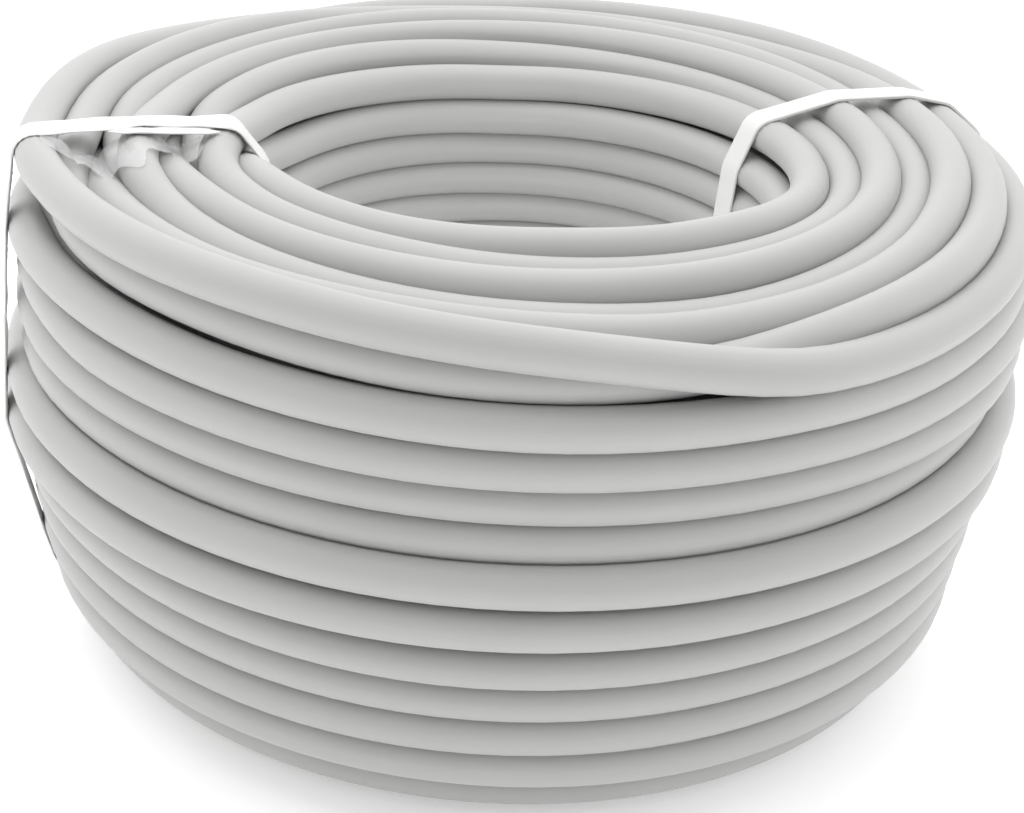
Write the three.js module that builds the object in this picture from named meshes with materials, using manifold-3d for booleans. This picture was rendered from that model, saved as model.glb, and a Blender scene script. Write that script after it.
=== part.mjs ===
// A coil of round data cable, wound without a reel, bound by a flat strap and a film tie, standing on its end.
// Millimetres, +Z up along the axis of the winding. The origin is on that axis, on the plane the coil stands on.
import * as THREE from "three";
import { mergeVertices } from "three/addons/utils/BufferGeometryUtils.js";
import Module from "manifold-3d";

// The cable.
const cableDiameter = 7.5;
const restFlatWidth = 2.4; // the jacket is pressed flat where a turn carries the coil

// The winding, in layers counted from the bore and rows counted from the floor.
// Radii run from the axis to the middle of the cable.
const layers = 7;
const rows = 12;
const rowPitch = 7.55;
const evenRise = 4.2; // every second layer, the first one too, stands this much above those between
const boreRadius = 52.3;
const wallRadius = 93;
const uprightFromRow = 5; // below this row the wall leans in towards the foot
const leanPerRow = 1.4;
const footTuck = 4.2; // the wall's lowest row is drawn in by this besides the lean
const proudRows = [5, 6]; // two rows of the wall where the turns lie on top of it
const proudBy = 2;
const proudLift = 1.25;
const mouthFlare = 1.2; // the topmost turn at the bore stands back by this
const endPitch = 7.43; // from one turn outwards to the next on the top end
const endHeight = 94; // to the middle of those turns, which all layers but the outer one end with

// The two bands, each a flat loop round the winding. Each runs straight across the top, from bandInner to bandOuter.
const bandInner = 50;
const bandOuter = 97;
const bandClearance = 0.4;
const bandFloorGap = 0.2; // the bands run in dents under the coil, this far above the floor
const strapWidth = 5.5;
const strapThickness = 0.8;
const strapAzimuths = [27, 18]; // at bandInner and at bandOuter
const filmWidth = 6;
const filmThickness = 0.9;
const filmAzimuths = [-167, -162.5];

// How finely the round shapes are cut.
const turnFacets = 36;
const arcStep = THREE.MathUtils.degToRad(50);
const hullPoints = 24;
const stationStep = 7; // the longest stretch of a band between two of its cross-sections

const cableRadius = cableDiameter / 2;
const lerp = THREE.MathUtils.lerp;

const wasm = await Module();
wasm.setup();

// The radius of the plain outer wall at a height: upright above, leaning in towards the foot.
function wallAt(height) {
  const row = Math.max(0, (height - cableRadius - evenRise) / rowPitch);
  const lean = Math.max(0, uprightFromRow - row) * leanPerRow;
  return wallRadius - lean - Math.max(0, 1 - row) * footTuck;
}

// A turn's middle as (radius, height), and whether it rests on the floor.
function turn(layer, row) {
  const even = layer % 2 === 0;
  const share = layer / (layers - 1);
  const onEnd = row === rows - 1 && layer < layers - 1;
  const proud = layer === layers - 1 && proudRows.includes(row);
  let height = cableRadius + row * rowPitch + (even ? evenRise : 0);
  let radius = lerp(boreRadius, wallAt(height), share);
  if (onEnd) radius = boreRadius + mouthFlare + layer * endPitch;
  if (onEnd) height = endHeight;
  if (proud) radius += proudBy;
  if (proud) height += proudLift;
  return { centre: new THREE.Vector2(radius, height), rests: row === 0 && !even };
}

// Every turn on the skin of the winding's section, anticlockwise: foot, outer wall, top end and bore.
function skinTurns() {
  const lastLayer = layers - 1;
  const lastRow = rows - 1;
  const foot = Array.from({ length: lastLayer }, (_, i) => turn(i, 0));
  const wall = Array.from({ length: lastRow }, (_, i) => turn(lastLayer, i));
  const end = Array.from({ length: lastLayer }, (_, i) => turn(lastLayer - i, lastRow));
  const bore = Array.from({ length: lastRow }, (_, i) => turn(0, lastRow - i));
  return [...foot, ...wall, ...end, ...bore];
}

// The crease between two neighbours is where their circles cross, or halfway where they stand apart.
function creaseBetween(a, b) {
  const along = b.clone().sub(a);
  const half = along.length() / 2;
  const outward = new THREE.Vector2(along.y, -along.x).normalize();
  const reach = Math.sqrt(Math.max(0, cableRadius ** 2 - half ** 2));
  return a.clone().add(b).multiplyScalar(0.5).addScaledVector(outward, reach);
}

// Points on a turn's own circle, anticlockwise between two directions, both left out.
function arcPoints(centre, from, to) {
  const start = from.clone().sub(centre).angle();
  const sweep = THREE.MathUtils.euclideanModulo(to.clone().sub(centre).angle() - start, 2 * Math.PI);
  const chords = Math.max(1, Math.round(sweep / arcStep));
  return Array.from({ length: chords - 1 }, (_, i) => {
    const angle = start + (sweep * (i + 1)) / chords;
    return new THREE.Vector2(Math.cos(angle), Math.sin(angle)).multiplyScalar(cableRadius).add(centre);
  });
}

function skinOutline() {
  const turns = skinTurns();
  const creases = turns.map(({ centre }, i) => creaseBetween(centre, turns[(i + 1) % turns.length].centre));
  return turns.flatMap(({ centre, rests }, i) => {
    const from = creases[(i - 1 + turns.length) % turns.length];
    const to = creases[i];
    if (!rests) return [from, ...arcPoints(centre, from, to)];
    const flatStart = new THREE.Vector2(centre.x - restFlatWidth / 2, 0);
    const flatEnd = new THREE.Vector2(centre.x + restFlatWidth / 2, 0);
    return [
      from,
      ...arcPoints(centre, from, flatStart),
      flatStart,
      flatEnd,
      ...arcPoints(centre, flatEnd, to),
    ];
  });
}

const bands = [
  {
    name: "flat_strap",
    azimuths: strapAzimuths,
    width: strapWidth,
    thickness: strapThickness,
    colour: 0xf3f3f1,
    roughness: 0.35,
  },
  {
    name: "film_tie",
    azimuths: filmAzimuths,
    width: filmWidth,
    thickness: filmThickness,
    colour: 0xf7f7f6,
    roughness: 0.5,
  },
];

function toSolid(geometry) {
  const bare = geometry.clone();
  bare.deleteAttribute("normal");
  bare.deleteAttribute("uv");
  const merged = mergeVertices(bare);
  return new wasm.Manifold(
    new wasm.Mesh({
      numProp: 3,
      vertProperties: new Float32Array(merged.attributes.position.array),
      triVerts: new Uint32Array(merged.index.array),
    }),
  );
}

function toGeometry(solid) {
  const mesh = solid.getMesh();
  const geometry = new THREE.BufferGeometry();
  geometry.setAttribute("position", new THREE.BufferAttribute(mesh.vertProperties, mesh.numProp));
  geometry.setIndex(new THREE.BufferAttribute(mesh.triVerts, 1));
  geometry.computeVertexNormals();
  return geometry;
}

// A place in plan on the straight line that a band follows, at a radius from the axis.
function bandPlace(azimuths, radius) {
  const [inner, outer] = azimuths.map((azimuth, i) => {
    const angle = THREE.MathUtils.degToRad(azimuth);
    return new THREE.Vector2(Math.cos(angle), Math.sin(angle)).multiplyScalar([bandInner, bandOuter][i]);
  });
  const along = outer.sub(inner);
  return inner.addScaledVector(along, (radius - bandInner) / (bandOuter - bandInner)).setLength(radius);
}

// The dent that a band presses into the underside of the winding.
function bandDent({ azimuths, width, thickness }) {
  const start = bandPlace(azimuths, boreRadius - 2 * cableDiameter);
  const end = bandPlace(azimuths, wallRadius + 2 * cableDiameter);
  const along = end.clone().sub(start);
  const middle = start.add(end).multiplyScalar(0.5);
  const top = bandFloorGap + thickness + bandClearance;
  const below = cableRadius; // carries the cut clear of the underside
  const dent = new THREE.BoxGeometry(along.length(), width + 4 * bandClearance, top + below);
  dent.rotateZ(along.angle());
  return dent.translate(middle.x, middle.y, (top - below) / 2);
}

function makeCoil() {
  const outline = skinOutline();
  const turned = new THREE.LatheGeometry([...outline, outline[0]], turnFacets).rotateX(Math.PI / 2);
  const dented = bands.reduce((solid, band) => solid.subtract(toSolid(bandDent(band))), toSolid(turned));
  const material = new THREE.MeshStandardMaterial({ color: 0xd9d9d7, roughness: 0.48, metalness: 0 });
  const coil = new THREE.Mesh(toGeometry(dented), material);
  coil.name = "cable_coil";
  return coil;
}

// The smallest convex outline round a set of points, anticlockwise.
function convexOutline(points) {
  const sorted = [...points].sort((a, b) => a.x - b.x || a.y - b.y);
  const turnsLeft = (a, b, c) => (b.x - a.x) * (c.y - a.y) - (b.y - a.y) * (c.x - a.x) > 1e-6;
  const halfOutline = (row) => {
    const kept = [];
    for (const point of row) {
      while (kept.length > 1 && !turnsLeft(kept.at(-2), kept.at(-1), point)) kept.pop();
      kept.push(point);
    }
    return kept.slice(0, -1);
  };
  return [...halfOutline(sorted), ...halfOutline(sorted.reverse())];
}

// A loop pulled tight round the winding's section at some distance from it, and flat over the floor.
function loopOutline(distance, lowest) {
  const points = skinTurns().flatMap(({ centre }) =>
    Array.from({ length: hullPoints }, (_, i) => {
      const angle = (2 * Math.PI * i) / hullPoints;
      const point = new THREE.Vector2(Math.cos(angle), Math.sin(angle));
      point.multiplyScalar(cableRadius + distance).add(centre);
      point.y = Math.max(point.y, lowest);
      return point;
    }),
  );
  return convexOutline(points);
}

// The outline again with its long edges divided, and the outward direction at each of its points.
function loopStations(outline) {
  const points = outline.flatMap((point, i) => {
    const next = outline[(i + 1) % outline.length];
    const pieces = Math.max(1, Math.ceil(point.distanceTo(next) / stationStep));
    return Array.from({ length: pieces }, (_, k) => point.clone().lerp(next, k / pieces));
  });
  return points.map((point, i) => {
    const before = points[(i - 1 + points.length) % points.length];
    const along = points[(i + 1) % points.length].clone().sub(before);
    return { point, outward: new THREE.Vector2(along.y, -along.x).normalize() };
  });
}

// A flat band with a rectangular section, closed on itself round the winding.
function bandGeometry({ azimuths, width, thickness }) {
  const stations = loopStations(loopOutline(bandClearance + thickness / 2, bandFloorGap + thickness / 2));
  const places = stations.map(({ point }) => {
    const plan = bandPlace(azimuths, point.x);
    return new THREE.Vector3(plan.x, plan.y, point.y);
  });
  const positions = stations.flatMap(({ point, outward }, i) => {
    const radial = places[i].clone().setZ(0).divideScalar(point.x);
    const normal = radial.multiplyScalar(outward.x).setZ(outward.y);
    const along = places[(i + 1) % places.length].clone().sub(places[(i - 1 + places.length) % places.length]);
    const across = along.cross(normal).normalize();
    return [[1, 1], [-1, 1], [-1, -1], [1, -1]].flatMap(([side, out]) => {
      const corner = places[i].clone().addScaledVector(across, (side * width) / 2);
      return corner.addScaledVector(normal, (out * thickness) / 2).toArray();
    });
  });
  const count = stations.length;
  const index = stations.flatMap((_, i) => {
    const here = 4 * i;
    const next = 4 * ((i + 1) % count);
    return [0, 1, 2, 3].flatMap((k) => {
      const l = (k + 1) % 4;
      return [here + k, next + k, next + l, here + k, next + l, here + l];
    });
  });
  const geometry = new THREE.BufferGeometry();
  geometry.setAttribute("position", new THREE.Float32BufferAttribute(positions, 3));
  geometry.setIndex(index);
  geometry.computeVertexNormals();
  return geometry;
}

function makeBand(band) {
  const material = new THREE.MeshStandardMaterial({
    color: band.colour,
    roughness: band.roughness,
    metalness: 0,
  });
  const mesh = new THREE.Mesh(bandGeometry(band), material);
  mesh.name = band.name;
  return mesh;
}

const cableCoilBound = new THREE.Group();
cableCoilBound.add(makeCoil(), ...bands.map(makeBand));

export default cableCoilBound;
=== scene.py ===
# Dresses a coil of round data cable, bound by a flat strap and a film tie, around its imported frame.
# Lengths are in metres, and MM turns the millimetres of a named size to metres. Azimuths run anticlockwise
# from +X, and the viewer stands towards -Y.
import functools
import math
from collections import namedtuple

import bpy
import numpy as np
from bpy.props import FloatProperty, FloatVectorProperty, PointerProperty
from mathutils import Matrix, Vector


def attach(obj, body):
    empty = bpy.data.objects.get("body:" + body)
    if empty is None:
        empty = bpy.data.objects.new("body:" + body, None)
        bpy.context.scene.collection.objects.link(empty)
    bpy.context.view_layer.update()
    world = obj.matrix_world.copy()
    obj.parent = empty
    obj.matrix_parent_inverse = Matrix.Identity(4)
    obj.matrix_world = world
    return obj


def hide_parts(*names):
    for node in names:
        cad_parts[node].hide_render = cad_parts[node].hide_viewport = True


bl_info = {
    "name": "Cable Coil",
    "version": (1, 0, 0),
    "blender": (4, 5, 0),
    "location": "3D View > Sidebar > Cable Coil",
    "description": "Winds a coil of data cable and binds it with a strap and a film tie",
    "category": "Add Mesh",
}

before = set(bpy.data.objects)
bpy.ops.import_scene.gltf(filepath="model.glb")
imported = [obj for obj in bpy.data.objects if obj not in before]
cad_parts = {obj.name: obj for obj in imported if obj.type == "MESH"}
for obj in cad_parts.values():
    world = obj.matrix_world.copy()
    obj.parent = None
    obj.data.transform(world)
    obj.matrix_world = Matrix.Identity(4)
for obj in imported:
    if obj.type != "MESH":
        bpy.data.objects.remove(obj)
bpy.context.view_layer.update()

MM = 0.001

# The winding has its rows counted from the floor and its layers from the bore.
LAYERS = 7
ROWS = 12
TURNS = LAYERS * ROWS
UPRIGHT_FROM_ROW = 5  # below this row the wall leans in

# How the winding is worked out.
SLICES = 96  # sections round one turn
FIRST = SLICES // 2  # the cable starts half a turn in
BASE_AZIMUTH = 90  # the first section's azimuth
# Where turns step to the next row, as (turn, azimuth): in the bore at the front, on the top end under the
# film tie, and outside at the back.
STEP_AZIMUTHS = ((0, 270), (6, 270), (11, 195), (60, 195), (72, 90), (84, 90))
STEP_SPREAD = 0.09  # the share of a turn, on each side of that place, that the climb takes
TOP_LEAD = 11 / 360  # a turn climbs to the top end early, and leaves it late, by this share of a turn
WANDER = 0.3 * MM  # how far the cable strays by itself
FLOOR_CONTACT = 0.08 * MM  # the jacket gives by this much where it rests
FAR_AWAY = -1.0  # where the empty sections before the cable's start wait
SETTLE_STEPS = 220
PUSH = 0.35  # in one step, turns that overlap move apart by this share of the overlap
PULL_SHOWN = 0.12  # a turn that shows goes back by this share of its distance from its place
PULL_HIDDEN = 0.015
STIFFNESS = 0.35  # a section moves by this share towards the middle of its two neighbours

# The cable's mesh.
TUBE_SIDES = 16
HIDDEN_EVERY = 3  # hidden turns keep one section in this many

# The bands.
BAND_INNER = 50 * MM  # each band runs straight across the top end between these two radii
BAND_OUTER = 97 * MM
BAND_STATION = 1.2 * MM
WAYS = 1440  # directions in which a tight band is stretched round the section
STRAP_SIDES = 24
TIE_SIDES = 40
BAND_FLOOR_GAP = 0.2 * MM

# What shows at the cable's two cut ends: four foiled pairs, each with two copper conductors.
FOIL_RADIUS = 1.3 * MM
FOIL_PLACE = 1.9 * MM  # from the cable's middle to the middle of a pair
FOIL_OUT = 0.5 * MM  # the pairs stand this far out of the cut jacket
CONDUCTOR_RADIUS = 0.29 * MM
CONDUCTOR_PLACE = 0.62 * MM  # from the pair's middle
CONDUCTOR_OUT = 1.1 * MM
FOIL_SIDES = 20
CONDUCTOR_SIDES = 10

# The loose parts of the film tie: a thin strand beside it, and clear film still stretched over a few turns.
STRAND_WIDTH = 3.2 * MM
STRAND_INNER_OFFSET = math.radians(6)
STRAND_OUTER_OFFSET = math.radians(1.6)
STRAND_FROM = 57 * MM
STRAND_TO = 78 * MM
STRAND_SIDES = 24
CLEAR_FILM_RADII = (61 * MM, 90 * MM)
CLEAR_FILM_START = math.radians(1.8)
CLEAR_FILM_SPREAD = math.radians(9)
CLEAR_FILM_GRID = (120, 60)  # points outwards and round
CLEAR_FILM_REACH = 2.6 * MM  # it bridges gaps between turns that are about this wide
CLEAR_FILM_LIFT = 0.35 * MM
CLEAR_FILM_WRINKLE = 0.3 * MM
CLEAR_FILM_WALL = 0.06 * MM

# The jacket's relief.
PAIR_LAY = 95 * MM  # one twist of the four pairs under the jacket
PAIR_SWELL = 0.05 * MM
GRAIN = 1.1 * MM  # drawn coarser than the real extrusion grain, so that it shows
GRAIN_DEPTH = 0.012 * MM
CLOUD = 30 * MM  # slow changes of shade

# The light.
TENT_FRONT = 0.4
TENT_BACK = 1.45
OVERHEAD_POWER = 2.2
BORE_FILL_POWER = 0.02
CARD_GLOW = 0.28
CARD_REACH = 3.0

# The camera fitted to the photograph.
CAMERA_EYE = np.array([0.0, -358.8, 228.8]) * MM
CAMERA_AIM = np.array([0.0, 0.0, 44.25]) * MM
CAMERA_ROLL = math.radians(2.97)
CAMERA_LENS = 69.86
CAMERA_SHIFT = (0.0029, -0.0317)

Winding = namedtuple(
    "Winding",
    "cable row_pitch even_rise bore_radius mouth_flare "
    "end_pitch end_height wall_radius lean_per_row foot_tuck",
)
Band = namedtuple("Band", "width thickness inner outer")
Wound = namedtuple("Wound", "line angle fine")
Loop = namedtuple("Loop", "point out across run")


def size(name, description, millimetres):
    """A length that a user can change."""
    return FloatProperty(
        name=name, description=description, default=millimetres * MM, min=0, precision=4,
        unit="LENGTH", subtype="DISTANCE",
    )


def bearing(name, description, degrees):
    """An azimuth that a user can change."""
    return FloatProperty(
        name=name, description=description, default=math.radians(degrees), unit="ROTATION", subtype="ANGLE"
    )


def linear(colour):
    """An sRGB hex colour as linear red, green, blue and alpha."""
    parts = [int(colour[i : i + 2], 16) / 255 for i in (1, 3, 5)]
    return [c / 12.92 if c <= 0.04045 else ((c + 0.055) / 1.055) ** 2.4 for c in parts] + [1.0]


def colour(name, description, value):
    """A colour that a user can change, from its sRGB hex value."""
    return FloatVectorProperty(
        name=name, description=description, default=linear(value), size=4, min=0, max=1, subtype="COLOR"
    )


class CableCoilWinding(bpy.types.PropertyGroup):
    """Sizes of the cable and of its winding."""

    cable: size("Cable diameter", "Across the jacket", 7.5)
    row_pitch: size("Row pitch", "From one row of turns up to the next", 7.55)
    even_rise: size("Layer rise", "Every second layer stands this much above those between", 4.2)
    bore_radius: size("Bore radius", "From the axis to the middle of the cable in the bore", 52.3)
    mouth_flare: size("Mouth flare", "The topmost turn at the bore stands back by this", 1.2)
    end_pitch: size("End pitch", "From one turn outwards to the next on the top end", 7.43)
    end_height: size("End height", "From the floor to the middle of the turns on the top end", 93)
    wall_radius: size("Wall radius", "From the axis to the middle of the cable on the wall", 93)
    lean_per_row: size("Lean", "How far each of the lower rows stands inside the row above it", 1.4)
    foot_tuck: size("Foot tuck", "The lowest row is drawn in by this besides the lean", 4.2)


class CableCoilBands(bpy.types.PropertyGroup):
    """Sizes of the two bands."""

    strap_width: size("Strap width", "Across the flat strap", 5.5)
    strap_thickness: size("Strap thickness", "Through the flat strap", 0.8)
    strap_inner: bearing("Strap at the bore", "Azimuth of the strap's inner end on the top", 27)
    strap_outer: bearing("Strap at the wall", "Azimuth of the strap's outer end on the top", 18)
    film_width: size("Film width", "Across the gathered film", 6)
    film_thickness: size("Film thickness", "Through the gathered film", 0.9)
    film_inner: bearing("Film at the bore", "Azimuth of the film tie's inner end on the top", -170)
    film_outer: bearing("Film at the wall", "Azimuth of the film tie's outer end on the top", -162.5)


class CableCoilColours(bpy.types.PropertyGroup):
    """Colours of the coil and of the surface that it stands on."""

    jacket: colour("Jacket", "The cable's jacket", "#BBBBBA")
    strap: colour("Strap", "The flat strap", "#E6E6E4")
    film: colour("Film", "The gathered film", "#EAEAE9")
    card: colour("Floor", "The card that the coil stands on", "#FBFBFB")


def read(group, kind, prefix=""):
    """A property group's values as a named tuple, which a cached function can take."""
    return kind(*(getattr(group, prefix + field) for field in kind._fields))


def smooth_step(x):
    """A cubic ramp from 0 to 1."""
    x = np.clip(x, 0, 1)
    return x * x * (3 - 2 * x)


def wall_at(sizes, height):
    """The radius of the outer wall at a height: upright above, leaning in towards the foot."""
    row = np.maximum(0, (height - sizes.cable / 2 - sizes.even_rise) / sizes.row_pitch)
    lean = np.maximum(0, UPRIGHT_FROM_ROW - row) * sizes.lean_per_row
    return sizes.wall_radius - lean - np.maximum(0, 1 - row) * sizes.foot_tuck


def winding_slots():
    """The (layer, row) of each turn in the order it was wound: up one layer and down the next."""
    slots = []
    for layer in range(LAYERS):
        rows = range(ROWS) if layer % 2 == 0 else reversed(range(ROWS))
        slots += [(layer, row) for row in rows]
    return np.array(slots)


def slot_places(sizes, slots):
    """The plain (radius, height) of each turn: columns from bore to wall, every second one half a row up.

    The topmost turns of all but the outer layer lie side by side on the top end.
    """
    layer, row = slots.T
    even = layer % 2 == 0
    share = layer / (LAYERS - 1)
    height = sizes.cable / 2 + sizes.row_pitch * row + sizes.even_rise * even
    radius = sizes.bore_radius + (wall_at(sizes, height) - sizes.bore_radius) * share
    on_end = (row == ROWS - 1) & (layer < LAYERS - 1)
    radius = np.where(on_end, sizes.bore_radius + sizes.mouth_flare + sizes.end_pitch * layer, radius)
    height = np.where(on_end, sizes.end_height, height)
    return np.stack([radius, height], -1)


# Turns that lie away from their plain place. Each (layer, row) has a list of places round the turn: the
# azimuth in degrees, and how many millimetres the turn lies outwards and upwards there.
STRAYS = {
    (6, 11): [(-180, -4.5, 5), (-160, -3.5, 6), (-130, -0.5, 8.5), (-115, 0, 8.3), (-100, 0, 6.6),
              (-85, 0, 4.2), (-70, 0, 0.8), (-55, 0, -2), (-40, 0, -3), (0, 0, -3), (90, 0, -4),
              (140, -1, 0)],
    (6, 10): [(-180, -2, 0), (-130, 0, 1), (-90, 0.5, 0), (-40, 1, -1), (0, 1.5, -1), (90, 0, 0)],
    (6, 9): [(-180, -3, 0), (-130, 0, 1), (-90, 0, 0), (-40, 1, -1), (0, 3, 0), (90, 0, 0)],
    (6, 8): [(-180, -2.5, 0), (-130, -1, 1.5), (-90, -1, 0.5), (-40, 0, -1), (0, 1.5, 0), (90, 0, 0)],
    (6, 7): [(-180, -2.5, 1), (-90, -2.5, 1.5), (0, -2, 1), (90, 0, 0)],
    (6, 6): [(-180, 2.2, 2), (-90, 2, 2.4), (-40, 2.2, 2.6), (0, 2.5, 2), (90, 0, 0)],
    (6, 5): [(-180, 1.8, 1), (-90, 1.8, 1.2), (-40, 2, 1.6), (0, 2, 2), (90, 0, 0)],
    (6, 4): [(-180, 0.3, 0.5), (-90, 0.3, 0), (0, 0.3, 1), (90, 0, 0)],
    (6, 3): [(-180, 0, 0), (-90, 0, -1), (0, 0, 0), (90, 0, 0)],
    (6, 2): [(-180, 0, 0), (-90, 0, -1), (0, 0, 0), (90, 0, 0)],
    (0, 11): [(-160, 0, 1), (-112, 0, 1.9), (-82, 0, 3), (-47, 1, 1.4), (-15, 3.5, -2), (15, 3.5, -3),
              (95, 0, -6)],
    (0, 10): [(-160, 0, 0), (-80, 0, 1), (-15, 0, -1.5), (95, 0, -3.6)],
    (0, 9): [(-160, 0, 0), (-80, 0, 0), (0, 0, -1), (95, 0, -3)],
    (0, 8): [(-160, 0, 0), (-80, 0, 0), (0, 0, -1), (95, 0, -2.3)],
    (0, 7): [(-160, 0, 0), (-80, 0, 0), (95, 0, -0.9)],
    (1, 11): [(-160, 0, 1.5), (-109, 0, 1.2), (-83, 0, 0.4), (-54, 0.5, -0.5), (-15, 2, -2), (15, 2, -2),
              (95, 0, -2.4)],
    (2, 11): [(-160, 0, 3), (-106, 0, 2.5), (-84, 0, 1.6), (-59, 0, 0.7), (-15, 0.5, -0.7), (15, 0, 0),
              (95, 0, 0)],
    (3, 11): [(-160, 0, 2.5), (-104, 0, -0.2), (-84, 0, -0.9), (-63, 0, -2.1), (-15, -1.5, 0.5),
              (95, 0, 0.2)],
    (4, 11): [(-160, -1.5, 2), (-102, 0, 1), (-85, 0, 0), (-66, 0, -1.3), (-15, -3, 1.5),
              (15, -2.5, 1), (95, 0, -0.4)],
    (5, 11): [(-160, -3.5, 0), (-130, -1, -0.5), (-100, 0, -2), (-66, 0, -2), (-40, -1, 0),
              (-15, -3.5, 1), (15, -3, 0), (95, 0, -2)],
}


def stray_offsets(slots, azimuths):
    """How far each turn lies outwards and upwards of its plain place, read round the turn from STRAYS."""
    offsets = np.zeros((len(slots), len(azimuths), 2))
    degrees = np.degrees(azimuths)
    for number, slot in enumerate(map(tuple, slots.tolist())):
        if slot in STRAYS:
            angle, out, up = np.array(STRAYS[slot], float).T
            offsets[number, :, 0] = np.interp(degrees, angle, out, period=360)
            offsets[number, :, 1] = np.interp(degrees, angle, up, period=360)
    return offsets * MM


def wander(count, seed, amount):
    """Slow sideways wander along the cable: a few sine waves of random phase, one value a section."""
    rng = np.random.default_rng(seed)
    along = np.arange(count)[:, None] / SLICES
    waves = rng.uniform(0.6, 3.2, 14)
    phase = rng.uniform(0, 2 * math.pi, (14, 2))
    strength = rng.normal(0, 1, (14, 2)) / waves[:, None] ** 0.5
    value = (np.sin(2 * math.pi * along[..., None] * waves[:, None] + phase) * strength).sum(1)
    return amount * value / value.std()


@functools.lru_cache(maxsize=2)
def wind(sizes):
    """The (radius, height) of the cable's middle at every section, the section's azimuth, and if it shows.

    The cable starts half a turn in. Each section has its turn's plain place plus its stray, and passes to the
    next turn's place where the layer steps. The winding is then settled: in every section, turns nearer than
    a diameter push apart, each is pulled a little back to its place, none sinks through the floor, and the
    cable's own stiffness smooths it along its length. Turns are left about 0.2 mm into each other, and up to
    1.6 mm where they cross.
    """
    slots = winding_slots()
    azimuth = math.radians(BASE_AZIMUTH) + 2 * math.pi * (np.arange(SLICES) + 0.5) / SLICES
    own = slot_places(sizes, slots)[:, None] + stray_offsets(slots, azimuth)

    number = np.arange(TURNS * SLICES)
    section = number % SLICES
    step_turn, step_azimuth = np.array(STEP_AZIMUTHS, float).T
    step_at = np.interp(np.arange(TURNS + 1), step_turn, step_azimuth)
    step_at = np.arange(TURNS + 1) + (step_at - BASE_AZIMUTH) / 360
    row = slots[:, 1]
    to_top_end = np.maximum(row[:-1], row[1:]) == ROWS - 1
    step_at[1:-1] += TOP_LEAD * np.sign(row[:-1] - row[1:]) * to_top_end
    position = np.interp((number + 0.5) / SLICES, step_at, np.arange(TURNS + 1))
    nearest = np.round(position).astype(int)
    passed = smooth_step(0.5 + (position - nearest) / STEP_SPREAD / 2)[:, None]
    before, after = np.clip(nearest - 1, 0, TURNS - 1), np.clip(nearest, 0, TURNS - 1)
    target = own[before, section] * (1 - passed) + own[after, section] * passed
    target = target + wander(TURNS * SLICES, 7, WANDER)

    layer, row = slots[np.clip(position.astype(int), 0, TURNS - 1)].T
    shown = (layer == 0) | (layer == LAYERS - 1) | (row == ROWS - 1)
    pull = np.where(shown, PULL_SHOWN, PULL_HIDDEN)[:, None]
    line = target.copy()
    same = np.arange(TURNS)
    for _ in range(SETTLE_STEPS):
        line[:FIRST] = FAR_AWAY
        place = line.reshape(TURNS, SLICES, 2)
        apart = place[:, None] - place[None]
        distance = np.sqrt((apart**2).sum(-1)) + 1e-9
        overlap = np.clip(sizes.cable - distance, 0, None)
        overlap[same, same] = 0
        line = line + PUSH * (apart * (overlap / distance)[..., None]).sum(1).reshape(-1, 2)
        line = line + pull * (target - line)
        middle = (np.roll(line, 1, 0) + np.roll(line, -1, 0)) / 2
        middle[FIRST], middle[-1] = line[FIRST], line[-1]
        line = line + STIFFNESS * (middle - line)
        line[:, 1] = np.maximum(line[:, 1], sizes.cable / 2 - FLOOR_CONTACT)
    fine = shown | (row >= ROWS - 2) | (row == 0)
    return Wound(line, azimuth[section] + 2 * math.pi * (number // SLICES), fine)


def cable_line(wound):
    """The points down the middle of the cable, close together where it shows."""
    radius, height = wound.line[FIRST:].T
    angle = wound.angle[FIRST:]
    line = np.stack([radius * np.cos(angle), radius * np.sin(angle), height], -1)
    keep = wound.fine[FIRST:] | (np.arange(len(line)) % HIDDEN_EVERY == 1)
    keep[0] = keep[-1] = True
    return line[keep]


def turns_at(wound, azimuth):
    """The (radius, height) of each turn's middle at an azimuth, which may differ from turn to turn."""
    share = ((azimuth - math.radians(BASE_AZIMUTH)) / (2 * math.pi)) % 1 * SLICES - 0.5
    number = np.clip(np.arange(TURNS) * SLICES + share, FIRST, TURNS * SLICES - 1.001)
    low = number.astype(int)
    return wound.line[low] + (wound.line[low + 1] - wound.line[low]) * (number - low)[:, None]


def plan_azimuth(band, radius):
    """The azimuth at a radius of the straight line that joins the band's two ends in plan."""
    share = ((radius - BAND_INNER) / (BAND_OUTER - BAND_INNER))[..., None]
    azimuth = np.array([band.inner, band.outer])
    ends = np.stack([np.cos(azimuth), np.sin(azimuth)], -1) * np.array([[BAND_INNER], [BAND_OUTER]])
    place = ends[0] + (ends[1] - ends[0]) * share
    return np.arctan2(place[..., 1], place[..., 0])


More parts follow.
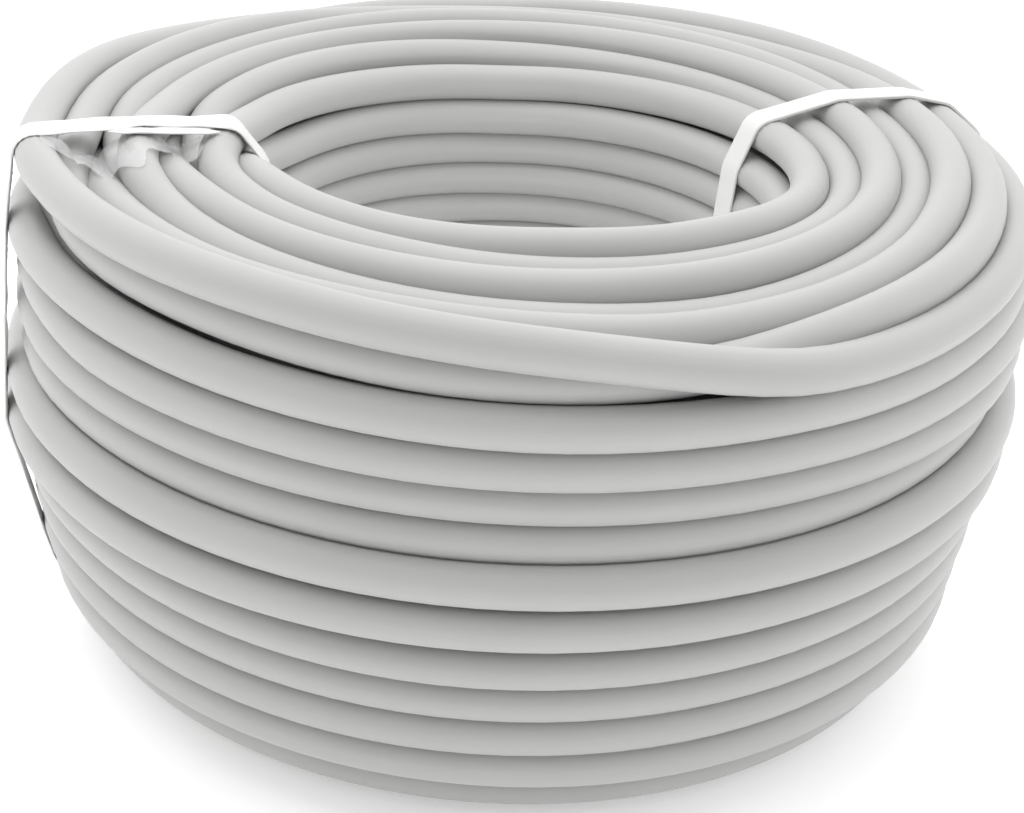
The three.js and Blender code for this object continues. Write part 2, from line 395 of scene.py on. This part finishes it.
def tight_loop(wound, cable, band, lift):
    """The loop that a tight band takes round the winding, as points and directions at even stations.

    In the winding's section, for each direction, the loop touches the turn that reaches farthest that way, at
    half a diameter plus lift from its middle. Each point then takes its azimuth from the band's line in plan.
    """
    azimuth = np.full(TURNS, band.inner)
    for _ in range(3):
        middle = turns_at(wound, azimuth)
        azimuth = plan_azimuth(band, middle[:, 0])
    angle = 2 * math.pi * np.arange(WAYS) / WAYS
    way = np.stack([np.cos(angle), np.sin(angle)], -1)
    corner = middle[np.argmax(middle @ way.T, 0)] + (cable / 2 + lift) * way
    corner[:, 1] = np.maximum(corner[:, 1], BAND_FLOOR_GAP + lift)
    ring = np.concatenate([corner, corner[:1]])
    run = np.concatenate([[0], np.cumsum(np.linalg.norm(np.diff(ring, axis=0), axis=1))])
    count = int(run[-1] / BAND_STATION)
    station = run[-1] * np.arange(count) / count
    radius, height = (np.interp(station, run, ring[:, k]) for k in (0, 1))
    section = np.stack([radius, height], -1)
    along = np.roll(section, -1, 0) - np.roll(section, 1, 0)
    along /= np.linalg.norm(along, axis=1)[:, None]
    azimuth = plan_azimuth(band, radius)
    point = np.stack([radius * np.cos(azimuth), radius * np.sin(azimuth), height], -1)
    out = np.stack([along[:, 1] * np.cos(azimuth), along[:, 1] * np.sin(azimuth), -along[:, 0]], -1)
    across = np.cross(np.roll(point, -1, 0) - np.roll(point, 1, 0), out)
    across /= np.linalg.norm(across, axis=1)[:, None]
    return Loop(point, out, across, station)


def grid_faces(rows, columns, close_rows):
    """Four-sided faces over a grid of points that closes round its columns, and round its rows if asked."""
    index = np.arange(rows * columns).reshape(rows, columns)
    here, ahead = (index, np.roll(index, -1, 0)) if close_rows else (index[:-1], index[1:])
    quads = np.stack([here, ahead, np.roll(ahead, -1, 1), np.roll(here, -1, 1)], -1)
    return index, quads.reshape(-1, 4).tolist()


def make_mesh(name, points, faces):
    """A smooth-shaded mesh from a grid of points and its faces."""
    mesh = bpy.data.meshes.new(name)
    mesh.from_pydata(points.reshape(-1, 3).tolist(), [], faces)
    mesh.shade_smooth()
    mesh.validate()
    return mesh


def tube_mesh(name, line, radius, sides):
    """A closed round tube along a line.

    A section's point is the line's point plus radius times (cos a, sin a) on two directions square to the
    line: the one that faces away from the coil's axis, and the one square to both. Both ends are capped.
    """
    along = np.gradient(line, axis=0)
    along /= np.linalg.norm(along, axis=1)[:, None]
    out = line * (1, 1, 0)
    out -= (out * along).sum(1)[:, None] * along
    out /= np.linalg.norm(out, axis=1)[:, None]
    up = np.cross(along, out)
    angle = 2 * math.pi * np.arange(sides) / sides
    ring = np.cos(angle)[None, :, None] * out[:, None] - np.sin(angle)[None, :, None] * up[:, None]
    count = len(line)
    index, faces = grid_faces(count, sides, close_rows=False)
    caps = [index[0].tolist(), index[-1, ::-1].tolist()]
    mesh = make_mesh(name, line[:, None] + radius * ring, faces + caps)
    run = np.concatenate([[0], np.cumsum(np.linalg.norm(np.diff(line, axis=0), axis=1))])
    corner_u = np.stack([run[:-1], run[1:], run[1:], run[:-1]], -1)[:, None] + np.zeros((1, sides, 1))
    around = np.arange(sides)[None, :, None] / sides + np.array([0, 0, 1, 1]) / sides
    corner_v = around + np.zeros((count - 1, 1, 1))
    uv = np.zeros((len(mesh.loops), 2), np.float32)
    uv[: corner_u.size] = np.stack([corner_u.ravel(), corner_v.ravel()], -1)
    mesh.uv_layers.new(name="along_cable").data.foreach_set("uv", uv.ravel())
    return mesh


def carried(loop, across, out):
    """A section carried along a loop: each point lies this far across and outwards of its station."""
    place = loop.point[:, None]
    return place + across[..., None] * loop.across[:, None] + out[..., None] * loop.out[:, None]


def band_mesh(name, loop, across, out):
    """A band closed on itself."""
    _, faces = grid_faces(*across.shape, close_rows=True)
    return make_mesh(name, carried(loop, across, out), faces)


def strip_mesh(name, loop, across, out):
    """A strip with two capped ends."""
    index, faces = grid_faces(*across.shape, close_rows=False)
    caps = [index[0].tolist(), index[-1, ::-1].tolist()]
    return make_mesh(name, carried(loop, across, out), faces + caps)


def rounded(value, power):
    """A sine or cosine raised to a power with its sign kept, which squares a circle off."""
    return np.sign(value) * np.abs(value) ** power


def strap_section(run, width, thickness, sides):
    """Offsets across and outwards for the flat strap: the same squared-off ellipse at every station."""
    angle = 2 * math.pi * (np.arange(sides) + 0.5) / sides
    everywhere = np.zeros((len(run), 1))
    across = rounded(np.cos(angle), 0.25) * width / 2 + everywhere
    out = rounded(np.sin(angle), 0.5) * thickness / 2 + everywhere
    return across, out


def gathered_section(run, width, thickness, sides, seed):
    """Offsets across and outwards for film drawn together into folds, at stations along it.

    The section is an ellipse whose width swells and shrinks along the film. Its surface is raised and lowered
    by a few sine ridges that run lengthwise and drift slowly sideways.
    """
    rng = np.random.default_rng(seed)
    angle = 2 * math.pi * (np.arange(sides) + 0.5) / sides
    along = run[:, None]
    long_swell = np.sin(2 * math.pi * along / (31 * MM) + 1)
    short_swell = np.sin(2 * math.pi * along / (11.3 * MM))
    across = np.cos(angle) * width / 2 * (1 + 0.14 * long_swell + 0.09 * short_swell)
    long_drift = np.sin(2 * math.pi * along / (47 * MM))
    short_drift = np.sin(2 * math.pi * along / (19 * MM) + 2)
    drift = 0.35 * long_drift + 0.2 * short_drift
    ridge = 0
    for count, share in ((1.7, 0.28), (3.1, 0.22), (5.3, 0.13)):
        phase = rng.uniform(0, 2 * math.pi)
        ridge = ridge + share * np.sin(2 * math.pi * count * (across / width + drift) + phase)
    out = np.sin(angle) * thickness / 2 * (1 + ridge)
    return across, out


def draped_height(wound, cable, radius, azimuth):
    """The height of film stretched over the top end, at a grid of places.

    It is the highest of the turns' round tops within reach, smoothed across the gaps between turns.
    """
    middle = turns_at(wound, np.full(TURNS, azimuth.mean()))
    reach = np.linspace(-CLEAR_FILM_REACH, CLEAR_FILM_REACH, 9)
    near = radius[None] + reach.reshape(-1, *[1] * radius.ndim)
    gap = near[..., None] - middle[:, 0]
    top = middle[:, 1] + np.sqrt(np.clip((cable / 2) ** 2 - gap**2, 0, None))
    top = np.where(np.abs(gap) < cable / 2, top, 0).max(-1)
    return 0.5 * top.max(0) + 0.5 * top.mean(0)


def clear_film_mesh(name, wound, cable, band):
    """Clear film that starts beside the tie and spreads round the top end, to a ragged edge.

    Its azimuth runs from the tie's own to the spread at that radius: a half sine from its inner to its outer
    end, made ragged by two finer sines. Its height is that of the turns' tops, plus a lift and crossed sine
    wrinkles.
    """
    outwards, round_it = CLEAR_FILM_GRID
    radius = np.linspace(*CLEAR_FILM_RADII, outwards)[:, None]
    share = np.linspace(0, 1, round_it)[None]
    ragged = 1 + 0.22 * np.sin(radius / (2.3 * MM)) + 0.16 * np.sin(radius / (0.91 * MM) + 1)
    bulge = np.sin(math.pi * np.linspace(0.12, 0.97, outwards))[:, None] ** 0.6
    spread = CLEAR_FILM_SPREAD * ragged * bulge
    azimuth = plan_azimuth(band, radius[:, 0])[:, None] + CLEAR_FILM_START + spread * share
    wrinkle = np.sin(radius / (1.7 * MM) + 5 * share) * np.sin(radius / (4.1 * MM) - 3 * share)
    height = draped_height(wound, cable, radius + 0 * share, azimuth)
    height = height + CLEAR_FILM_LIFT + CLEAR_FILM_WRINKLE * wrinkle * (1 - 0.5 * share)
    points = np.stack([radius * np.cos(azimuth), radius * np.sin(azimuth), height], -1)
    index = np.arange(outwards * round_it).reshape(outwards, round_it)
    quads = np.stack([index[:-1, :-1], index[1:, :-1], index[1:, 1:], index[:-1, 1:]], -1)
    return make_mesh(name, points, quads.reshape(-1, 4).tolist())


def cut_end(line):
    """The foiled pairs and their conductors where a line starts, as two lists of (start, end, radius).

    The pairs stand at four corners round the cable's middle, and the conductors at two places in each pair.
    """
    end = line[0]
    outward = (line[0] - line[1]) / np.linalg.norm(line[0] - line[1])
    side = np.cross(outward, (0, 0, 1))
    side /= np.linalg.norm(side)
    top = np.cross(side, outward)
    foils, conductors = [], []
    for corner in range(4):
        angle = math.pi / 4 + corner * math.pi / 2
        middle = end + FOIL_PLACE * (math.cos(angle) * side + math.sin(angle) * top)
        foils.append((middle - outward * MM, middle + outward * FOIL_OUT, FOIL_RADIUS))
        for sign in (-1, 1):
            place = middle + sign * CONDUCTOR_PLACE * (math.cos(angle + 1) * side + math.sin(angle + 1) * top)
            conductors.append((place, place + outward * CONDUCTOR_OUT, CONDUCTOR_RADIUS))
    return foils, conductors


def rods_mesh(name, rods, sides):
    """Round rods in one mesh: each is a tube between its start and end, capped."""
    points, faces = [], []
    for start, end, radius in rods:
        along = (end - start) / np.linalg.norm(end - start)
        first = np.cross(along, (0, 0, 1))
        first /= np.linalg.norm(first)
        second = np.cross(along, first)
        angle = 2 * math.pi * np.arange(sides) / sides
        ring = radius * (np.cos(angle)[:, None] * first + np.sin(angle)[:, None] * second)
        index, quads = grid_faces(2, sides, close_rows=False)
        base = 2 * sides * len(points)
        caps = [index[0].tolist(), index[-1, ::-1].tolist()]
        faces += [[number + base for number in reversed(face)] for face in quads + caps]
        points.append(np.stack([start + ring, end + ring]))
    mesh = make_mesh(name, np.array(points), faces)
    mesh.shade_flat()
    return mesh


def put(name, mesh, material, node_name):
    """Places a mesh in the scene as a finished piece, which stands for a CAD node if one is named."""
    obj = bpy.data.objects.new(name, mesh)
    bpy.context.scene.collection.objects.link(obj)
    mesh.materials.append(material)
    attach(obj, "root")
    if node_name:
        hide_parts(node_name)
    return obj


def add_node(tree, kind, settings=(), **inputs):
    """Adds a node with its settings, and sets or links its inputs by name, or by number as i0 or i1."""
    node = tree.nodes.new(kind)
    for key, value in dict(settings).items():
        setattr(node, key, value)
    for key, value in inputs.items():
        by_number = key[0] == "i" and key[1:].isdigit()
        socket = node.inputs[int(key[1:]) if by_number else key.replace("_", " ")]
        if isinstance(value, bpy.types.NodeSocket):
            tree.links.new(value, socket)
        else:
            socket.default_value = value
    return node


def new_material(name):
    """A material, its node tree and its main shader."""
    material = bpy.data.materials.new(name)
    material.use_nodes = True
    return material, material.node_tree, material.node_tree.nodes["Principled BSDF"]


def jacket_material(tint):
    """Extruded low-smoke jacket compound: a matte grey-white skin with a faint satin sheen.

    The pairs inside raise a slow helical swell, and the extruder leaves a fine grain.
    """
    material, tree, shader = new_material("lszh_jacket_extruded")
    place = add_node(tree, "ShaderNodeTexCoord")
    split = add_node(tree, "ShaderNodeSeparateXYZ", Vector=place.outputs["UV"])
    turn = add_node(tree, "ShaderNodeMath", {"operation": "MULTIPLY"}, i0=split.outputs["Y"], i1=2 * math.pi)
    lay = add_node(
        tree, "ShaderNodeMath", {"operation": "MULTIPLY_ADD"},
        i0=split.outputs["X"], i1=2 * math.pi / PAIR_LAY, i2=turn.outputs[0],
    )
    swell = add_node(tree, "ShaderNodeMath", {"operation": "SINE"}, i0=lay.outputs[0])
    swell_bump = add_node(tree, "ShaderNodeBump", Height=swell.outputs[0], Distance=PAIR_SWELL, Strength=1.0)
    grain = add_node(tree, "ShaderNodeTexNoise", Vector=place.outputs["Object"], Scale=1 / GRAIN, Detail=3.0)
    grain_bump = add_node(
        tree, "ShaderNodeBump", Height=grain.outputs["Fac"], Distance=GRAIN_DEPTH, Strength=1.0,
        Normal=swell_bump.outputs["Normal"],
    )
    tree.links.new(grain_bump.outputs["Normal"], shader.inputs["Normal"])
    cloud = add_node(tree, "ShaderNodeTexNoise", Vector=place.outputs["Object"], Scale=1 / CLOUD, Detail=2.0)
    shade = add_node(
        tree, "ShaderNodeMapRange", Value=cloud.outputs["Fac"],
        From_Min=0.3, From_Max=0.7, To_Min=0.965, To_Max=1.0,
    )
    colour_mix = add_node(
        tree, "ShaderNodeMix", {"data_type": "RGBA"},
        i0=shade.outputs["Result"], i6=(0, 0, 0, 1), i7=tuple(tint),
    )
    tree.links.new(colour_mix.outputs[2], shader.inputs["Base Color"])
    shader.inputs["Roughness"].default_value = 0.5
    shader.inputs["IOR"].default_value = 1.5
    return material


def strap_material(tint):
    """Extruded polypropylene strap: smooth, white and slightly glossy."""
    material, _, shader = new_material("polypropylene_strap_extruded")
    shader.inputs["Roughness"].default_value = 0.35
    shader.inputs["IOR"].default_value = 1.49
    shader.inputs["Base Color"].default_value = tint
    return material


def film_material(tint):
    """Blown polyethylene stretch film, gathered in many plies: milky, with soft highlights on its folds."""
    material, _, shader = new_material("polyethylene_film_gathered")
    shader.inputs["Roughness"].default_value = 0.4
    shader.inputs["IOR"].default_value = 1.5
    shader.inputs["Base Color"].default_value = tint
    return material


def clear_film_material():
    """Single-ply polyethylene stretch film: clear, and seen only by its gloss and its wrinkles."""
    material, _, shader = new_material("polyethylene_film_clear")
    shader.inputs["Base Color"].default_value = linear("#FAFAFA")
    shader.inputs["Roughness"].default_value = 0.18
    shader.inputs["IOR"].default_value = 1.5
    shader.inputs["Alpha"].default_value = 0.22
    return material


def foil_material():
    """Aluminium-faced polyester foil wrapped round each pair: bright and thin; its crumples are not drawn."""
    material, _, shader = new_material("aluminium_polyester_foil")
    shader.inputs["Base Color"].default_value = linear("#D8DADC")
    shader.inputs["Metallic"].default_value = 1.0
    shader.inputs["Roughness"].default_value = 0.32
    return material


def copper_material():
    """Drawn bare copper wire, freshly cut."""
    material, _, shader = new_material("bare_copper_drawn")
    shader.inputs["Base Color"].default_value = linear("#D08A62")
    shader.inputs["Metallic"].default_value = 1.0
    shader.inputs["Roughness"].default_value = 0.25
    return material


def card_material(tint):
    """Matte white acrylic of a light table, lit faintly from below so that shadows on it stay pale."""
    material, _, shader = new_material("opal_acrylic_matte")
    shader.inputs["Emission Color"].default_value = tint
    shader.inputs["Emission Strength"].default_value = CARD_GLOW
    shader.inputs["Roughness"].default_value = 0.9
    shader.inputs["Base Color"].default_value = tint
    return material


def studio_world():
    """A white light tent: bright above, behind and at both sides, and dimmer on the viewer's side."""
    world = bpy.data.worlds.new("light_tent")
    world.use_nodes = True
    tree = world.node_tree
    way = add_node(tree, "ShaderNodeTexCoord").outputs["Generated"]
    parts = add_node(tree, "ShaderNodeSeparateXYZ", Vector=way)
    ramp = {"interpolation_type": "SMOOTHSTEP"}
    from_back = add_node(
        tree, "ShaderNodeMapRange", ramp, Value=parts.outputs["Y"],
        From_Min=-0.9, From_Max=0.1, To_Min=TENT_FRONT, To_Max=TENT_BACK,
    )
    tree.links.new(from_back.outputs["Result"], tree.nodes["Background"].inputs["Strength"])
    tree.nodes["Background"].inputs["Color"].default_value = (1, 1, 1, 1)
    return world


def place_camera():
    """The camera fitted to the photograph, turned a little about its own axis."""
    ahead = (CAMERA_AIM - CAMERA_EYE) / np.linalg.norm(CAMERA_AIM - CAMERA_EYE)
    right = np.array([1.0, 0.0, 0.0])
    up = np.cross(right, ahead)
    side = math.cos(CAMERA_ROLL) * right + math.sin(CAMERA_ROLL) * up
    top = np.cross(side, ahead)
    data = bpy.data.cameras.new("camera")
    data.lens = CAMERA_LENS
    data.sensor_width = 36
    data.sensor_fit = "HORIZONTAL"
    data.shift_x, data.shift_y = CAMERA_SHIFT
    data.clip_start = 0.01
    camera = bpy.data.objects.new("camera", data)
    bpy.context.scene.collection.objects.link(camera)
    rows = [[side[k], top[k], -ahead[k], CAMERA_EYE[k]] for k in range(3)]
    camera.matrix_world = Matrix([*rows, [0, 0, 0, 1]])
    bpy.context.scene.camera = camera


def place_light(name, where, aim, extent, power):
    """A soft rectangular light that faces a point."""
    data = bpy.data.lights.new(name, "AREA")
    data.shape = "RECTANGLE"
    data.size, data.size_y = extent
    data.energy = power
    light = bpy.data.objects.new(name, data)
    bpy.context.scene.collection.objects.link(light)
    light.location = where
    light.visible_camera = False
    light.rotation_euler = (Vector(aim) - Vector(where)).to_track_quat("-Z", "Y").to_euler()


class CABLE_COIL_OT_stage(bpy.types.Operator):
    """Sets the camera, the lights and the white card that the coil stands on."""

    bl_idname = "cable_coil.stage"
    bl_label = "Set the stage"

    def execute(self, context):
        place_camera()
        corners = CARD_REACH * np.array([(-1, -1, 0), (1, -1, 0), (1, 1, 0), (-1, 1, 0)])
        mesh = make_mesh("card", corners, [(0, 1, 2, 3)])
        mesh.materials.append(card_material(context.scene.cable_coil_colours.card))
        card = bpy.data.objects.new("card", mesh)
        context.scene.collection.objects.link(card)
        context.scene.world = studio_world()
        context.scene.view_settings.view_transform = "Standard"
        place_light("overhead", (-0.2, 0.15, 0.9), (0, 0, 0), (0.9, 0.9), OVERHEAD_POWER)
        place_light("bore_fill", (0, -0.03, 0.075), (0, 0.05, 0.06), (0.05, 0.02), BORE_FILL_POWER)
        return {"FINISHED"}


class CABLE_COIL_OT_cable(bpy.types.Operator):
    """Winds the cable, one length from its inner end in the bore to its outer end at the back."""

    bl_idname = "cable_coil.cable"
    bl_label = "Wind the cable"

    def execute(self, context):
        sizes = read(context.scene.cable_coil_winding, Winding)
        line = cable_line(wind(sizes))
        mesh = tube_mesh("cable", line, sizes.cable / 2, TUBE_SIDES)
        jacket = jacket_material(context.scene.cable_coil_colours.jacket)
        cable = put("cable", mesh, jacket, "cable_coil")
        ends = [cut_end(line), cut_end(line[::-1])]
        foils, conductors = (sum((end[k] for end in ends), []) for k in (0, 1))
        put("pair_foils", rods_mesh("pair_foils", foils, FOIL_SIDES), foil_material(), None)
        put("conductors", rods_mesh("conductors", conductors, CONDUCTOR_SIDES), copper_material(), None)
        return {"FINISHED"}


class CABLE_COIL_OT_strap(bpy.types.Operator):
    """Pulls the flat strap tight round the winding."""

    bl_idname = "cable_coil.strap"
    bl_label = "Fit the strap"

    def execute(self, context):
        sizes = read(context.scene.cable_coil_winding, Winding)
        band = read(context.scene.cable_coil_bands, Band, "strap_")
        loop = tight_loop(wind(sizes), sizes.cable, band, band.thickness / 2)
        mesh = band_mesh("strap", loop, *strap_section(loop.run, band.width, band.thickness, STRAP_SIDES))
        put("strap", mesh, strap_material(context.scene.cable_coil_colours.strap), "flat_strap")
        return {"FINISHED"}


class CABLE_COIL_OT_film(bpy.types.Operator):
    """Gathers the stretch film into a tie round the winding."""

    bl_idname = "cable_coil.film"
    bl_label = "Fit the film tie"

    def execute(self, context):
        sizes = read(context.scene.cable_coil_winding, Winding)
        band = read(context.scene.cable_coil_bands, Band, "film_")
        wound = wind(sizes)
        loop = tight_loop(wound, sizes.cable, band, band.thickness / 2)
        across, out = gathered_section(loop.run, band.width, band.thickness, TIE_SIDES, seed=3)
        mesh = band_mesh("film_tie_gathered", loop, across, out)
        material = film_material(context.scene.cable_coil_colours.film)
        put("film_tie_gathered", mesh, material, "film_tie")

        strand = band._replace(
            width=STRAND_WIDTH, inner=band.inner + STRAND_INNER_OFFSET, outer=band.outer + STRAND_OUTER_OFFSET
        )
        loop = tight_loop(wound, sizes.cable, strand, band.thickness / 2)
        radius = np.hypot(loop.point[:, 0], loop.point[:, 1])
        on_top = (loop.point[:, 2] > sizes.end_height) & (radius > STRAND_FROM) & (radius < STRAND_TO)
        loop = Loop(*(part[on_top] for part in loop))
        share = np.linspace(0, 1, len(loop.run))[:, None]
        taper = np.clip(np.sin(math.pi * share) * 2.5, 0.15, 1)
        across, out = gathered_section(loop.run, strand.width, band.thickness * 0.7, STRAND_SIDES, seed=5)
        mesh = strip_mesh("film_strand", loop, across * taper, out * taper)
        put("film_strand", mesh, material, None)

        mesh = clear_film_mesh("film_clear", wound, sizes.cable, band)
        clear = put("film_clear", mesh, clear_film_material(), None)
        wall = clear.modifiers.new("wall", "SOLIDIFY")
        wall.thickness = CLEAR_FILM_WALL
        return {"FINISHED"}


class CABLE_COIL_PT_panel(bpy.types.Panel):
    """Lists the steps that make the coil, with its sizes and colours."""

    bl_idname = "CABLE_COIL_PT_panel"
    bl_label = "Cable Coil"
    bl_space_type = "VIEW_3D"
    bl_region_type = "UI"
    bl_category = "Cable Coil"

    def draw(self, context):
        for kind in OPERATORS:
            self.layout.operator(kind.bl_idname)
        for name in GROUPS:
            group = getattr(context.scene, name)
            box = self.layout.box()
            for field in type(group).__annotations__:
                box.prop(group, field)


OPERATORS = (CABLE_COIL_OT_stage, CABLE_COIL_OT_cable, CABLE_COIL_OT_strap, CABLE_COIL_OT_film)
GROUPS = {
    "cable_coil_winding": CableCoilWinding,
    "cable_coil_bands": CableCoilBands,
    "cable_coil_colours": CableCoilColours,
}


def register():
    for kind in (*GROUPS.values(), *OPERATORS, CABLE_COIL_PT_panel):
        bpy.utils.register_class(kind)
    for name, kind in GROUPS.items():
        setattr(bpy.types.Scene, name, PointerProperty(type=kind))


def unregister():
    for name in GROUPS:
        delattr(bpy.types.Scene, name)
    for kind in reversed((*GROUPS.values(), *OPERATORS, CABLE_COIL_PT_panel)):
        bpy.utils.unregister_class(kind)


def main():
    register()
    bpy.ops.cable_coil.stage()
    bpy.ops.cable_coil.cable()
    bpy.ops.cable_coil.strap()
    bpy.ops.cable_coil.film()


if __name__ == "__main__":
    main()
